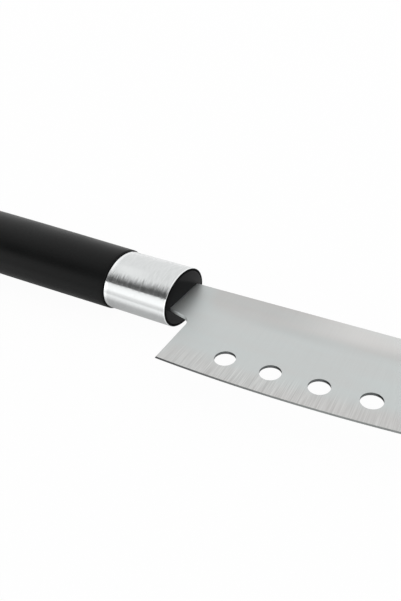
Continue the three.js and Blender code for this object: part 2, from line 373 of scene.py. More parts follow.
def spinArc(bm, geom, centre, angle, length):  # gives back the last vertices
    steps = max(1, math.ceil(abs(length) / blade["arcStep"]))
    arc = bmesh.ops.spin(
        bm, geom=geom, cent=centre, axis=(0, 0, 1), dvec=(0, 0, 0), angle=angle, steps=steps,
        use_merge=False, use_duplicate=False)
    return vertsOf(arc["geom_last"])


def makeBlank():
    margin = blade["cutMargin"]
    slope = math.radians(blade["spineDegrees"])
    tipX = bladeFront.x
    blankRadius = blade["edgeRadius"] + margin / 2  # a little proud, for the grinder to trim
    heelX = blade["heelX"] + blade["heelLean"]
    tangHigh = blade["spineAtPlug"] - blade["shoulderStep"]
    tangLow = blade["neckAtPlug"] + blade["shoulderStep"]
    bm = bmesh.new()

    # cutting edge from heel to tip
    heelTurn = edgeTurn(heelX, blankRadius)
    edgeSweep = edgeTurn(tipX, blankRadius) - heelTurn
    heel = bm.verts.new(edgeCentre + blankRadius * Vector((math.sin(heelTurn), -math.cos(heelTurn), 0)))
    edgeLast = spinArc(bm, [heel], edgeCentre, edgeSweep, blankRadius * edgeSweep)[0]

    # nose: an arc that leaves the spine smoothly and ends at the tip
    trueTurn = edgeTurn(tipX, blade["edgeRadius"])
    tip = edgeCentre + blade["edgeRadius"] * Vector((math.sin(trueTurn), -math.cos(trueTurn), 0))
    spineEndX = tipX - blade["noseLength"]
    spineEnd = Vector((spineEndX, blade["spineAtPlug"] + math.tan(slope) * spineEndX, 0))
    inward = Vector((math.sin(slope), -math.cos(slope), 0))
    span = tip - spineEnd
    noseRadius = span.length_squared / (2 * span.dot(inward))
    noseCentre = spineEnd + noseRadius * inward
    fromTip = (tip - noseCentre).normalized()
    noseTurn = fromTip.angle(-inward) + margin / noseRadius
    noseStart = noseCentre + Matrix.Rotation(-margin / noseRadius, 3, "Z") @ (tip - noseCentre)
    noseFirst = bm.verts.new(noseStart)
    noseLast = spinArc(bm, [noseFirst], noseCentre, noseTurn, noseRadius * noseTurn)[0]

    # spine, tang, neck and notch, back round to the heel
    corners = [
        (0, blade["spineAtPlug"]),
        (plugBack.x, blade["spineAtPlug"] + math.tan(slope) * plugBack.x),
        (plugBack.x, tangHigh),
        (bladeBack.x, tangHigh),
        (bladeBack.x, tangLow),
        (plugBack.x, tangLow),
        (plugBack.x, blade["neckAtPlug"]),
        (0, blade["neckAtPlug"]),
        (blade["heelX"], blade["neckAtPlug"] - blade["neckDrop"]),
    ]
    backVerts = [bm.verts.new((x, y, 0)) for x, y in corners]
    chain = [noseLast] + backVerts + [heel]
    for first, second in zip(chain, chain[1:]):
        bm.edges.new((first, second))
    bm.edges.new((edgeLast, noseFirst))
    bmesh.ops.edgeloop_fill(bm, edges=bm.edges[:])
    rounding = [
        (backVerts[2], "shoulderRadius"), (backVerts[3], "tangEndRadius"), (backVerts[4], "tangEndRadius"),
        (backVerts[5], "shoulderRadius"), (backVerts[8], "notchRadius"),
    ]
    for vert, radius in rounding:
        roundCorner(bm, vert, blade[radius], blade["cornerSteps"])

    grown = bmesh.ops.extrude_face_region(bm, geom=bm.faces[:])["geom"]
    bmesh.ops.translate(bm, vec=(0, 0, blade["stock"]), verts=vertsOf(grown))
    bmesh.ops.translate(bm, vec=(0, 0, -blade["stock"] / 2), verts=bm.verts[:])
    bmesh.ops.recalc_face_normals(bm, faces=bm.faces[:])
    # both ends of a rim lie on the same face
    rims = [edge for edge in bm.edges if edge.verts[0].co.z * edge.verts[1].co.z > 0]
    roundEdges(bm, rims, blade["rimEase"], blade["easeSteps"])
    return pieceFrom(bm, "blade_steel")


def makeGrinder(face):  # what the grinder takes off one face, swept along the edge
    margin = blade["cutMargin"]
    halfStock = blade["stock"] / 2
    halfEdge = blade["bevelThickness"] / 2
    fall = (halfStock - halfEdge) / (blade["grindHeight"] - blade["bevelHeight"])
    section = [(0, 0), (-margin, 0), (-margin, halfStock + margin)]
    blendTop = blade["grindHeight"] + blade["grindBlend"] / 2
    section.append((blendTop, halfStock + margin))
    for i in range(blade["blendSteps"] + 1):  # the flank leaves the flat gently
        down = blade["grindBlend"] * i / blade["blendSteps"]
        section.append((blendTop - down, halfStock - fall * down ** 2 / (2 * blade["grindBlend"])))
    section.append((blade["bevelHeight"], halfEdge))

    start = edgeTurn(blade["heelX"] - blade["notchRadius"], blade["edgeRadius"])
    end = edgeTurn(bladeFront.x + margin, blade["edgeRadius"])
    bm = bmesh.new()
    edgeY = edgeCentre.y - blade["edgeRadius"]
    places = [(edgeCentre.x, edgeY + height, face * z) for height, z in section]
    outline = bm.faces.new([bm.verts.new(place) for place in places])
    bmesh.ops.rotate(bm, cent=edgeCentre, matrix=Matrix.Rotation(start, 3, "Z"), verts=bm.verts[:])
    spinArc(bm, [outline] + list(outline.edges) + list(outline.verts), edgeCentre, end - start,
            blade["edgeRadius"] * (end - start))
    bmesh.ops.recalc_face_normals(bm, faces=bm.faces[:])
    return pieceFrom(bm, "grinder")


def holeCentres():
    rowRadius = blade["edgeRadius"] - blade["holeToEdge"]
    centres = []
    x = blade["firstHoleX"]
    while x < bladeFront.x - blade["holeToTip"]:
        turn = edgeTurn(x, rowRadius)
        centres.append(Vector((x, edgeCentre.y - rowRadius * math.cos(turn), 0)))
        x += blade["holePitch"]
    return centres


def makePunches():  # the food-release holes, and the holes of the tang
    tangMiddle = (blade["spineAtPlug"] + blade["neckAtPlug"]) / 2
    punches = [(centre, blade["holeDiameter"] / 2) for centre in holeCentres()]
    x = bladeBack.x + blade["tangHolePitch"] / 2
    while x < coreFront.x - blade["tangHolePitch"] / 2:
        punches.append((Vector((x, tangMiddle, 0)), blade["tangHoleDiameter"] / 2))
        x += blade["tangHolePitch"]
    bm = bmesh.new()
    for centre, radius in punches:
        bmesh.ops.create_cone(
            bm, cap_ends=True, cap_tris=False, segments=blade["holeSegments"],
            radius1=radius, radius2=radius, depth=2 * blade["stock"], matrix=Matrix.Translation(centre))
    return pieceFrom(bm, "punches")


def makeBlade():
    piece = makeBlank()
    cutAway(piece, [makeGrinder(1), makeGrinder(-1), makePunches()])
    centres = holeCentres()
    wallReach = blade["holeDiameter"] / 2 + blade["wallMargin"]
    for face in piece.data.polygons:
        tilt = math.degrees(math.acos(min(1, abs(face.normal.z))))
        fromHole = min((face.center.xy - centre.xy).length for centre in centres)
        face.use_smooth = tilt > blade["roundTilt"]
        if blade["bevelTilt"] < tilt < blade["roundTilt"]:
            face.material_index = 1  # bevel
        elif tilt > blade["wallTilt"] and fromHole < wallReach:
            face.material_index = 2  # wall of a hole
    return piece


gripPiece = makeGrip()
ferrulePiece = makeFerrule()
plugPiece = makePlug()
bladePiece = makeBlade()
standFor(gripPiece, "grip_sleeve")
standFor(ferrulePiece, "ferrule")
standFor(plugPiece, "front_plug")
standFor(bladePiece, "blade")
for piece in (gripPiece, ferrulePiece, plugPiece, bladePiece):
    print("piece:", piece.name, len(piece.data.polygons), "faces")


# Ground stainless sheet: satin, with belt marks square to the edge that run out raggedly between the holes.
# The flat above the grind has a painted reflection: painted darker by the handle and lighter towards the
# front.

groundSteel = {
    "dark": "#AEB1B1",
    "light": "#E5E8E8",
    "warm": "#C5BDB9",
    "cool": "#C6D0CF",
    "tintShare": 0.4,
    "tintWidth": 7,  # cloudy patches, drawn out along the blade
    "tintLength": 34,
    "coolHeight": 21,  # above the edge, where the steel is coolest
    "coolReach": 10,  # from there, up and down
    "warmReach": 16,
    "coolNeck": 14,  # the neck and the heel stay cool, up to here from the plug
    "coolCast": 0.18,
    "warmCast": -0.32,
    "flankTop": 30,  # heights above the edge between which the flank gives way to the flat
    "flatStart": 40,
    "lineHeight": 33.5,  # painted shade along the line where the grind ends
    "lineReach": 4.5,
    "lineShade": 0.93,
    "lineX": 20,  # it comes in from here, measured from the plug
    "lineFullX": 55,
    "shadedFlatX": 36,  # from the plug; the flat's painted reflection runs from painted shade here to painted light at the next
    "litFlatX": 76,
    "dull": 0.92,  # the flat's share of the flank's brightness: painted shade here, painted light at the next
    "bright": 1.14,
    "markWidth": 0.35,  # the real marks are finer than a pixel, so these are drawn wide enough to show
    "markLength": 16,
    "markContrast": 1.6,
    "frontContrast": 0.95,  # the marks are fainter towards the front, and by the heel
    "contrastX": 56,  # from the plug
    "frontContrastX": 76,
    "heelContrast": 0.55,  # share of the full contrast
    "heelContrastX": 14,
    "fullContrastX": 34,
    "flankContrast": 0.12,
    "marksFull": 4,  # heights above the edge between which the marks run out
    "marksEnd": 11,
    "raggedness": 10,
    "raggedMarks": 0.3,  # ragged patches to the width of a mark
    "markDepth": 0.01,
    "bumpStrength": 0.3,
    "roughness": 0.45,
    "roughnessSwing": 0.05,
    "swingStrength": 0.3,  # strength of a mark at which the roughness is at the end of its swing
}


def makeGroundSteel():
    s = groundSteel
    material, tree = emptyMaterial("satin_ground_stainless")
    place = addNode(tree, "ShaderNodeTexCoord").outputs["Object"]
    fromCentre = addNode(tree, "ShaderNodeMapping", {"Location": -(knifePlace @ edgeCentre)},
                         {"Vector": place}).outputs["Vector"]
    apart = addNode(tree, "ShaderNodeSeparateXYZ", None, {"Vector": fromCentre}).outputs

    # height above the cutting edge, and length along it from the plug
    edgeRadius = blade["edgeRadius"] * mm
    radius = addNode(tree, "ShaderNodeVectorMath", {"operation": "LENGTH"},
                     {0: fromCentre}).outputs["Value"]
    height = addNode(tree, "ShaderNodeMath", {"operation": "SUBTRACT", 0: edgeRadius},
                     {1: radius}).outputs[0]
    down = addNode(tree, "ShaderNodeMath", {"operation": "MULTIPLY", 1: -1}, {0: apart["Y"]}).outputs[0]
    turn = addNode(tree, "ShaderNodeMath", {"operation": "ARCTAN2"}, {0: apart["X"], 1: down}).outputs[0]
    along = addNode(tree, "ShaderNodeMath", {
        "operation": "MULTIPLY_ADD", 1: edgeRadius, 2: edgeCentre.x * mm}, {0: turn}).outputs[0]

    # belt marks
    stretch = s["markWidth"] / s["markLength"]
    drawn = addNode(tree, "ShaderNodeMath", {"operation": "MULTIPLY", 1: stretch}, {0: height}).outputs[0]
    markPlace = addNode(tree, "ShaderNodeCombineXYZ", None,
                        {"X": along, "Y": drawn, "Z": apart["Z"]}).outputs[0]
    marks = addNode(tree, "ShaderNodeTexNoise", {"Scale": 1 / (s["markWidth"] * mm), "Detail": 0},
                    {"Vector": markPlace}).outputs["Fac"]
    ragged = addNode(tree, "ShaderNodeTexNoise", {
        "Scale": s["raggedMarks"] / (s["markWidth"] * mm), "Detail": 2},
        {"Vector": markPlace}).outputs["Fac"]
    raggedHeight = addNode(tree, "ShaderNodeMath", {"operation": "MULTIPLY_ADD", 1: s["raggedness"] * mm},
                           {0: ragged, 2: height}).outputs[0]
    middle = s["raggedness"] / 2
    contrast = addNode(tree, "ShaderNodeMapRange", {
        "From Min": s["contrastX"] * mm, "From Max": s["frontContrastX"] * mm,
        "To Min": s["markContrast"], "To Max": s["frontContrast"]}, {"Value": along}).outputs[0]
    pastHeel = addNode(tree, "ShaderNodeMapRange", {
        "From Min": s["heelContrastX"] * mm, "From Max": s["fullContrastX"] * mm,
        "To Min": s["heelContrast"]}, {"Value": along}).outputs[0]
    fullest = addNode(tree, "ShaderNodeMath", {"operation": "MULTIPLY"},
                      {0: contrast, 1: pastHeel}).outputs[0]
    fade = addNode(tree, "ShaderNodeMapRange", {
        "interpolation_type": "SMOOTHSTEP", "From Min": (s["marksEnd"] + middle) * mm,
        "From Max": (s["marksFull"] + middle) * mm, "To Min": s["flankContrast"]},
        {"Value": raggedHeight, "To Max": fullest}).outputs[0]
    centred = addNode(tree, "ShaderNodeMath", {"operation": "SUBTRACT", 1: noiseMiddle},
                      {0: marks}).outputs[0]
    strength = addNode(tree, "ShaderNodeMath", {"operation": "MULTIPLY"}, {0: centred, 1: fade}).outputs[0]
    tone = addNode(tree, "ShaderNodeMath", {"operation": "ADD", 1: noiseMiddle}, {0: strength}).outputs[0]
    steel = addNode(tree, "ShaderNodeMix", {
        "data_type": "RGBA", 6: linear(s["dark"]), 7: linear(s["light"])}, {0: tone}).outputs[2]

    # faint warm and cool patches, warmer along the edge and the spine
    patchPlace = addNode(tree, "ShaderNodeMapping", {"Scale": (s["tintWidth"] / s["tintLength"], 1, 1)},
                         {"Vector": place}).outputs["Vector"]
    patches = addNode(tree, "ShaderNodeTexNoise", {"Scale": 1 / (s["tintWidth"] * mm), "Detail": 2},
                      {"Vector": patchPlace}).outputs["Fac"]
    fromCool = addNode(tree, "ShaderNodeMath", {"operation": "SUBTRACT", 1: s["coolHeight"] * mm},
                       {0: height}).outputs[0]
    upOrDown = addNode(tree, "ShaderNodeMath", {"operation": "ABSOLUTE"}, {0: fromCool}).outputs[0]
    pastNeck = addNode(tree, "ShaderNodeMapRange", {"From Max": s["coolNeck"] * mm},
                       {"Value": along}).outputs[0]
    awayFromCool = addNode(tree, "ShaderNodeMath", {"operation": "MULTIPLY"},
                           {0: upOrDown, 1: pastNeck}).outputs[0]
    cast = addNode(tree, "ShaderNodeMapRange", {
        "From Min": s["coolReach"] * mm, "From Max": s["warmReach"] * mm,
        "To Min": s["coolCast"], "To Max": s["warmCast"]}, {"Value": awayFromCool}).outputs[0]
    coolness = addNode(tree, "ShaderNodeMath", {"operation": "ADD"}, {0: patches, 1: cast}).outputs[0]
    tint = addNode(tree, "ShaderNodeMix", {
        "data_type": "RGBA", 6: linear(s["warm"]), 7: linear(s["cool"])}, {0: coolness}).outputs[2]
    tinted = addNode(tree, "ShaderNodeMix", {"data_type": "RGBA", 0: s["tintShare"]},
                     {6: steel, 7: tint}).outputs[2]

    # painted reflection on the flat above the grind, and painted shade along the line where the grind ends
    onFlat = addNode(tree, "ShaderNodeMapRange", {
        "From Min": s["flankTop"] * mm, "From Max": s["flatStart"] * mm}, {"Value": height}).outputs[0]
    # painted reflection: the flat is painted darker by the handle and lighter towards the front
    flatTone = addNode(tree, "ShaderNodeMapRange", {
        "interpolation_type": "SMOOTHSTEP", "From Min": s["shadedFlatX"] * mm, "From Max": s["litFlatX"] * mm,
        "To Min": s["dull"], "To Max": s["bright"]}, {"Value": along}).outputs[0]
    gain = addNode(tree, "ShaderNodeMix", {"data_type": "FLOAT", 2: 1}, {0: onFlat, 3: flatTone}).outputs[0]
    fromLine = addNode(tree, "ShaderNodeMath", {"operation": "SUBTRACT", 1: s["lineHeight"] * mm},
                       {0: height}).outputs[0]
    offLine = addNode(tree, "ShaderNodeMath", {"operation": "ABSOLUTE"}, {0: fromLine}).outputs[0]
    lineDepth = addNode(tree, "ShaderNodeMapRange", {
        "From Min": s["lineX"] * mm, "From Max": s["lineFullX"] * mm,
        "To Min": 1, "To Max": s["lineShade"]}, {"Value": along}).outputs[0]
    shade = addNode(tree, "ShaderNodeMapRange", {
        "interpolation_type": "SMOOTHSTEP", "From Max": s["lineReach"] * mm, "To Max": 1},
        {"Value": offLine, "To Min": lineDepth}).outputs[0]
    shaded = addNode(tree, "ShaderNodeMath", {"operation": "MULTIPLY"}, {0: gain, 1: shade}).outputs[0]
    colour = addNode(tree, "ShaderNodeVectorMath", {"operation": "SCALE"},
                     {0: tinted, "Scale": shaded}).outputs[0]

    rough = addNode(tree, "ShaderNodeMapRange", {
        "From Min": -s["swingStrength"], "From Max": s["swingStrength"],
        "To Min": s["roughness"] - s["roughnessSwing"], "To Max": s["roughness"] + s["roughnessSwing"]},
        {"Value": strength}).outputs[0]
    bump = addNode(tree, "ShaderNodeBump", {
        "Strength": s["bumpStrength"], "Distance": s["markDepth"] * mm}, {"Height": strength}).outputs[0]
    shader = addNode(tree, "ShaderNodeBsdfPrincipled", {"Metallic": 1},
                     {"Base Color": colour, "Roughness": rough, "Normal": bump})
    addNode(tree, "ShaderNodeOutputMaterial", None, {"Surface": shader.outputs[0]})
    return material


# Honed bevel: stone-dragged and duller than the flank above it. Its darker colour is partly the honed steel
# and partly painted shade, painted darkest at the heel.

honedSteel = {
    "heel": "#4C4D4E",
    "front": "#8E9190",
    "heelX": 8,  # from the plug; the painted shade is darkest here and lightens up to frontX
    "frontX": 68,
    "scratch": 0.5,
    "scratchShade": "#6A6C6C",
    "scratchLow": 0.5,  # noise between which the scratches come in
    "scratchHigh": 0.8,
    "scratchShare": 0.6,
    "roughness": 0.42,
}


def makeHonedSteel():
    s = honedSteel
    material, tree = emptyMaterial("honed_stainless_bevel")
    place = addNode(tree, "ShaderNodeTexCoord").outputs["Object"]
    fromPlug = addNode(tree, "ShaderNodeMapping", {"Location": -plugFace},
                       {"Vector": place}).outputs["Vector"]
    ahead = addNode(tree, "ShaderNodeSeparateXYZ", None, {"Vector": fromPlug}).outputs["X"]
    # painted shade: darker towards the heel, lighter towards the front
    run = addNode(tree, "ShaderNodeMapRange", {"From Min": s["heelX"] * mm, "From Max": s["frontX"] * mm},
                  {"Value": ahead}).outputs[0]
    heelShadedSteel = addNode(tree, "ShaderNodeMix", {
        "data_type": "RGBA", 6: linear(s["heel"]), 7: linear(s["front"])}, {0: run}).outputs[2]
    scratches = addNode(tree, "ShaderNodeTexNoise", {"Scale": 1 / (s["scratch"] * mm), "Detail": 3},
                        {"Vector": place}).outputs["Fac"]
    share = addNode(tree, "ShaderNodeMapRange", {
        "From Min": s["scratchLow"], "From Max": s["scratchHigh"], "To Max": s["scratchShare"]},
        {"Value": scratches}).outputs[0]
    colour = addNode(tree, "ShaderNodeMix", {"data_type": "RGBA", 7: linear(s["scratchShade"])},
                     {0: share, 6: heelShadedSteel}).outputs[2]
    shader = addNode(tree, "ShaderNodeBsdfPrincipled", {"Metallic": 1, "Roughness": s["roughness"]},
                     {"Base Color": colour})
    addNode(tree, "ShaderNodeOutputMaterial", None, {"Surface": shader.outputs[0]})
    return material


# Punched wall: torn, dull grey steel inside the holes, with painted shade where it faces back and down to
# the heel

punchedSteel = {
    "dark": "#4A4C4D",
    "light": "#76797A",
    "tear": 0.4,
    "shadedSide": 45,  # degrees up from straight ahead, seen from the hole's centre
    "shadeFull": 25,  # degrees to each side of that
    "shadeReach": 58,
    "shadeShare": 0.12,
    "roughness": 0.5,
}


def makePunchedSteel():
    s = punchedSteel
    material, tree = emptyMaterial("punched_stainless_wall")
    place = addNode(tree, "ShaderNodeTexCoord").outputs["Object"]
    tears = addNode(tree, "ShaderNodeTexNoise", {"Scale": 1 / (s["tear"] * mm), "Detail": 2},
                    {"Vector": place}).outputs["Fac"]
    torn = addNode(tree, "ShaderNodeMix", {
        "data_type": "RGBA", 6: linear(s["dark"]), 7: linear(s["light"])}, {0: tears}).outputs[2]
    # painted shade on the side of the wall that faces back and down towards the heel
    side = math.radians(s["shadedSide"])
    normal = addNode(tree, "ShaderNodeNewGeometry").outputs["Normal"]
    facing = addNode(tree, "ShaderNodeVectorMath", {
        "operation": "DOT_PRODUCT", 1: (-math.cos(side), -math.sin(side), 0)}, {0: normal}).outputs["Value"]
    share = addNode(tree, "ShaderNodeMapRange", {
        "From Min": math.cos(math.radians(s["shadeReach"])),
        "From Max": math.cos(math.radians(s["shadeFull"])),
        "To Min": 1, "To Max": s["shadeShare"]}, {"Value": facing}).outputs[0]
    colour = addNode(tree, "ShaderNodeVectorMath", {"operation": "SCALE"},
                     {0: torn, "Scale": share}).outputs[0]
    shader = addNode(tree, "ShaderNodeBsdfPrincipled", {"Metallic": 1, "Roughness": s["roughness"]},
                     {"Base Color": colour})
    addNode(tree, "ShaderNodeOutputMaterial", None, {"Surface": shader.outputs[0]})
    return material


# Brushed stainless tube: fine lines round the axis smear highlights along the handle and leave them crisp
# round it. The lines are cut deeper on the upper and lower sides, where reflections turn ragged. Near both
# ends the colour is painted brighter, a painted highlight along the rims.

brushedSteel = {
    "dark": "#D0D2D2",
    "light": "#E0E2E2",
    # painted highlight colour at both ends, and how far it reaches from each
    "end": "#F6F8F8",
    "frontEnd": 0.5,
    "rearEnd": 2.2,
    "lineWidth": 0.29,  # the real lines are finer, so these are drawn wide enough to show
    "lineLength": 3,
    "lineLean": 0.36,  # tilt of the deep lines, and of those in front
    "frontLean": 0.05,
    "leanStart": 46,  # degrees up or down from straight in front between which the lines deepen
    "leanFull": 60,
    "roughness": 0.2,
    "roughnessSwing": 0.06,
    "anisotropy": 0.7,  # rough across the lines, smooth along them
    "smoothTurn": 0.25,  # share of a full turn that lays the smooth direction along the lines
}


def makeBrushedSteel():
    s = brushedSteel
    material, tree = emptyMaterial("brushed_stainless_tube")
    place = addNode(tree, "ShaderNodeTexCoord").outputs["Object"]
    stretch = s["lineWidth"] / s["lineLength"]
    drawn = addNode(tree, "ShaderNodeMapping", {"Scale": (1, stretch, stretch)},
                    {"Vector": place}).outputs[0]
    lines = addNode(tree, "ShaderNodeTexNoise", {"Scale": 1 / (s["lineWidth"] * mm), "Detail": 0},
                    {"Vector": drawn}).outputs["Fac"]
    brushed = addNode(tree, "ShaderNodeMix", {
        "data_type": "RGBA", 6: linear(s["dark"]), 7: linear(s["light"])}, {0: lines}).outputs[2]

    # painted highlight: brighter colour at both ends of the stretch that shows
    fromPlug = addNode(tree, "ShaderNodeMapping", {"Location": -plugFace},
                       {"Vector": place}).outputs["Vector"]
    ahead = addNode(tree, "ShaderNodeSeparateXYZ", None, {"Vector": fromPlug}).outputs["X"]
    atFront = addNode(tree, "ShaderNodeMapRange", {
        "From Min": (ferruleFront.x - s["frontEnd"]) * mm,
        "From Max": (ferruleFront.x - s["frontEnd"] / 2) * mm}, {"Value": ahead}).outputs[0]
    atRear = addNode(tree, "ShaderNodeMapRange", {
        "From Min": (gripFront.x + s["rearEnd"]) * mm,
        "From Max": (gripFront.x + s["rearEnd"] / 2) * mm}, {"Value": ahead}).outputs[0]
    atHighlight = addNode(tree, "ShaderNodeMath", {"operation": "MAXIMUM"}, {0: atFront, 1: atRear}).outputs[0]
    colour = addNode(tree, "ShaderNodeMix", {"data_type": "RGBA", 7: linear(s["end"])},
                     {0: atHighlight, 6: brushed}).outputs[2]

    # each line's own roughness, and its lean along the tube
    rough = addNode(tree, "ShaderNodeMapRange", {
        "From Min": noiseLow, "From Max": noiseHigh,
        "To Min": s["roughness"] - s["roughnessSwing"], "To Max": s["roughness"] + s["roughnessSwing"]},
        {"Value": lines}).outputs[0]
    normal = addNode(tree, "ShaderNodeNewGeometry").outputs["Normal"]
    around = addNode(tree, "ShaderNodeVectorMath", {"operation": "CROSS_PRODUCT", 0: (1, 0, 0)},
                     {1: normal}).outputs[0]
    upright = addNode(tree, "ShaderNodeSeparateXYZ", None, {"Vector": normal}).outputs["Z"]
    slope = addNode(tree, "ShaderNodeMath", {"operation": "ABSOLUTE"}, {0: upright}).outputs[0]
    depth = addNode(tree, "ShaderNodeMapRange", {
        "From Min": math.sin(math.radians(s["leanStart"])),
        "From Max": math.sin(math.radians(s["leanFull"])),
        "To Min": s["frontLean"], "To Max": s["lineLean"]}, {"Value": slope}).outputs[0]
    centred = addNode(tree, "ShaderNodeMath", {"operation": "SUBTRACT", 0: noiseMiddle},
                      {1: lines}).outputs[0]
    lean = addNode(tree, "ShaderNodeMath", {"operation": "MULTIPLY"}, {0: centred, 1: depth}).outputs[0]
    shift = addNode(tree, "ShaderNodeVectorMath", {"operation": "SCALE"},
                    {0: around, "Scale": lean}).outputs[0]
    leant = addNode(tree, "ShaderNodeVectorMath", {"operation": "ADD"}, {0: normal, 1: shift}).outputs[0]
    leantNormal = addNode(tree, "ShaderNodeVectorMath", {"operation": "NORMALIZE"}, {0: leant}).outputs[0]
    shader = addNode(tree, "ShaderNodeBsdfPrincipled", {
        "Metallic": 1, "Anisotropic": s["anisotropy"], "Anisotropic Rotation": s["smoothTurn"]},
        {"Base Color": colour, "Roughness": rough, "Normal": leantNormal, "Tangent": around})
    addNode(tree, "ShaderNodeOutputMaterial", None, {"Surface": shader.outputs[0]})
    return material


# Black on the tube's cut end round the plug, dull, with next to no gloss

cutEndBlack = {"dark": "#0A0A0A", "light": "#121213", "smear": 0.8, "roughness": 0.55, "gloss": 0.03}


def makeCutEndBlack():
    s = cutEndBlack
    material, tree = emptyMaterial("black_cut_end_line")
    place = addNode(tree, "ShaderNodeTexCoord").outputs["Object"]
    smears = addNode(tree, "ShaderNodeTexNoise", {"Scale": 1 / (s["smear"] * mm), "Detail": 2},
                     {"Vector": place}).outputs["Fac"]
    colour = addNode(tree, "ShaderNodeMix", {
        "data_type": "RGBA", 6: linear(s["dark"]), 7: linear(s["light"])}, {0: smears}).outputs[2]
    shader = addNode(tree, "ShaderNodeBsdfPrincipled", {
        "Roughness": s["roughness"], "Specular IOR Level": s["gloss"]}, {"Base Color": colour})
    addNode(tree, "ShaderNodeOutputMaterial", None, {"Surface": shader.outputs[0]})
    return material


# Moulded black plastics and poured resin: a fine grain dulls them, the plastics' from a spark-eroded mould,
# and a broad unevenness keeps the sheen alive

moulded = {"roughnessSwing": 0.04, "bumpStrength": 0.4}
mattePlastic = {
    "name": "matte_black_polypropylene", "dark": "#0C0D0D", "light": "#101111", "grain": 0.35, "cloud": 22,
    "roughness": 0.38, "grainDepth": 0.012, "gloss": 0.11,
}
semiGlossPlastic = {
    "name": "semi_gloss_black_nylon", "dark": "#050506", "light": "#0A0A0B", "grain": 0.5, "cloud": 9,
    "roughness": 0.16, "grainDepth": 0.006, "gloss": 0.065,
}
corePlastic = {
    "name": "plain_moulded_core", "dark": "#121212", "light": "#1A1A1A", "grain": 0.6, "cloud": 15,
    "roughness": 0.55, "grainDepth": 0.006, "gloss": 0.3,
}
curedResin = {
    "name": "cured_epoxy_resin", "dark": "#9C8F63", "light": "#B1A376", "grain": 1.5, "cloud": 8,
    "roughness": 0.4, "grainDepth": 0.01, "gloss": 0.5,
}


def makeMoulded(s):
    material, tree = emptyMaterial(s["name"])
    place = addNode(tree, "ShaderNodeTexCoord").outputs["Object"]
    clouds = addNode(tree, "ShaderNodeTexNoise", {"Scale": 1 / (s["cloud"] * mm), "Detail": 2},
                     {"Vector": place}).outputs["Fac"]
    grain = addNode(tree, "ShaderNodeTexNoise", {"Scale": 1 / (s["grain"] * mm), "Detail": 2},
                    {"Vector": place}).outputs["Fac"]
    colour = addNode(tree, "ShaderNodeMix", {
        "data_type": "RGBA", 6: linear(s["dark"]), 7: linear(s["light"])}, {0: clouds}).outputs[2]
    swing = moulded["roughnessSwing"]
    rough = addNode(tree, "ShaderNodeMapRange", {
        "From Min": noiseLow, "From Max": noiseHigh,
        "To Min": s["roughness"] - swing, "To Max": s["roughness"] + swing}, {"Value": clouds}).outputs[0]
    bump = addNode(tree, "ShaderNodeBump", {
        "Strength": moulded["bumpStrength"], "Distance": s["grainDepth"] * mm},
        {"Height": grain}).outputs[0]
    shader = addNode(tree, "ShaderNodeBsdfPrincipled", {"Specular IOR Level": s["gloss"]},
                     {"Base Color": colour, "Roughness": rough, "Normal": bump})
    addNode(tree, "ShaderNodeOutputMaterial", None, {"Surface": shader.outputs[0]})
    return material


for material in (makeGroundSteel(), makeHonedSteel(), makePunchedSteel()):
    bladePiece.data.materials.append(material)
for material in (makeBrushedSteel(), makeCutEndBlack()):
    ferrulePiece.data.materials.append(material)
gripPiece.data.materials.append(makeMoulded(mattePlastic))
plugPiece.data.materials.append(makeMoulded(semiGlossPlastic))
for node, finish in (("handle_core", corePlastic), ("tang_adhesive", curedResin)):
    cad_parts[node].data.materials.clear()
    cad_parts[node].data.materials.append(makeMoulded(finish))
print("materials:", len(bpy.data.materials))


# Stage: white floor in an even white surround. A long softbox lies low in front, in line with the handle,
# and a black flag hangs over it. The two give the ferrule its bright stripe and its dark band.

stage = {
    "floorRadius": 4.0,  # metres
    "floorSides": 64,
    "floorPaper": 0.95,  # share of the light that the paper sends back
    "floorWhite": 0.965,  # share of plain white where the camera sees the floor; the rest takes the shadow
    "floorGlossWhite": 0.6,  # the same share in what metal shows of it
    # In the metal, the floor has a painted shadow close beside the handle, and a painted light and a
    # painted dark stripe:
    # millimetres from the handle's axis, and tone
    "floorStripes": ((20.5, 0.6), (28, 1.18), (40, 1.68), (60, 0.94), (150, 1.3)),
    "floorReach": 200,
    "floorAhead": 1.3,  # its tone past the plug, where the painted shadow ends
    "floorAheadBlend": 4,
    "surround": 1.0,
    "panelRadius": 0.8,  # softbox and flag are bent round the handle's axis; metres
    "panelLeft": -1.6,
    "panelRight": 0.5,
    "panelSteps": 24,
    "softboxLow": 0,  # degrees round the axis, up from straight in front
    "softboxHigh": 36.6,
    "softboxMiddle": 11,
    "softboxStrength": 1.42,
    "softboxFall": 1.4,  # loss of strength, per square of an angle in radians from its middle
    "flagDark": 56,  # the flag is black up to here, fades to a white top from here to flagFade,
    "flagFade": 82,  # and fades more slowly at its rear
    "flagRearFade": 200,
    "flagFront": -0.82,  # metres ahead of the ferrule's middle, between which the fade slows down
    "flagRear": -0.88,
    "flagHigh": 112,
    "flagTone": 0.12,
    "flagTopRear": 1.18,  # tone of its top, falling along the stretch that the ferrule shows
    "flagTopFront": 0.98,
    "flagTopStart": -0.55,
    "flagTopEnd": -0.44,
}


